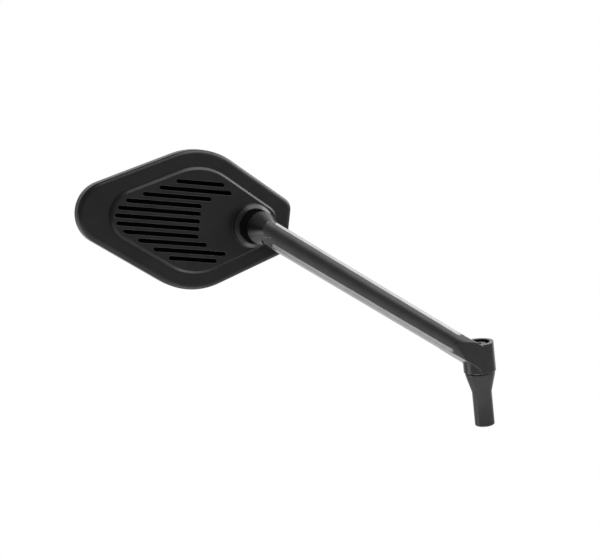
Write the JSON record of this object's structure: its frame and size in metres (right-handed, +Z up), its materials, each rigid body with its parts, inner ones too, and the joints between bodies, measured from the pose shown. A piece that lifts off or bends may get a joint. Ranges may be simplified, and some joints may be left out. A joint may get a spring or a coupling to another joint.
{
  "type": "motorcycle mirror",
  "caption": "Handlebar rear-view mirror for a motorcycle: kite-shaped metal head with a slotted back on a ball joint, carried by a chamfered arm that swivels on a threaded stem.",
  "frame": {"origin": "centre of the stem's bottom face, on the axis of its threaded hole", "axes": "+Z up along the stem, -X along the arm towards the head, +Y the way the glass faces"},
  "size_m": [0.269, 0.0415, 0.215],
  "materials": {
    "anodised_arm": "black anodised, satin with a sheen",
    "anodised_head": "black anodised over fine blasting, matt",
    "dark_steel": "black oxide",
    "bright_steel": "dark phosphated, polished ball",
    "plain_aluminium": "turned, uncoated",
    "black_acetal": "moulded, smooth",
    "bond_tape": "foam tape, matt",
    "mirror_glass": "silvered flat glass"
  },
  "bodies": {
    "stem": {"stem": "anodised_arm", "friction_washer": "black_acetal", "disc_spring": "dark_steel", "clamp_screw": "dark_steel"},
    "arm": {"arm": "anodised_arm", "ball_stud": "bright_steel"},
    "ball_liner": {"ball_liner": "black_acetal"},
    "ball_seat": {"seat_ring": "black_acetal", "seat_cup": "black_acetal"},
    "head": {"head_shell": "anodised_head", "mirror_glass": "mirror_glass", "glass_bond": "bond_tape", "seat_spring": "dark_steel", "seat_retainer": "plain_aluminium"}
  },
  "joints": [
    {"name": "arm_swing", "type": "hinge", "parent": "stem", "child": "arm", "pos_m": [0, 0, 0.038], "axis": [0, 0, 1], "continuous": true},
    {"name": "head_pan", "type": "hinge", "parent": "arm", "child": "ball_liner", "pos_m": [-0.145, 0.0203, 0.161], "axis": [0, 0, 1], "range_deg": [-15, 15]},
    {"name": "head_tilt", "type": "hinge", "parent": "ball_liner", "child": "ball_seat", "pos_m": [-0.145, 0.0203, 0.161], "axis": [1, 0, 0], "range_deg": [-15, 15]},
    {"name": "head_roll", "type": "hinge", "parent": "ball_seat", "child": "head", "pos_m": [-0.145, 0.0203, 0.161], "axis": [0, 1, 0], "range_deg": [-40, 40]}
  ]
}
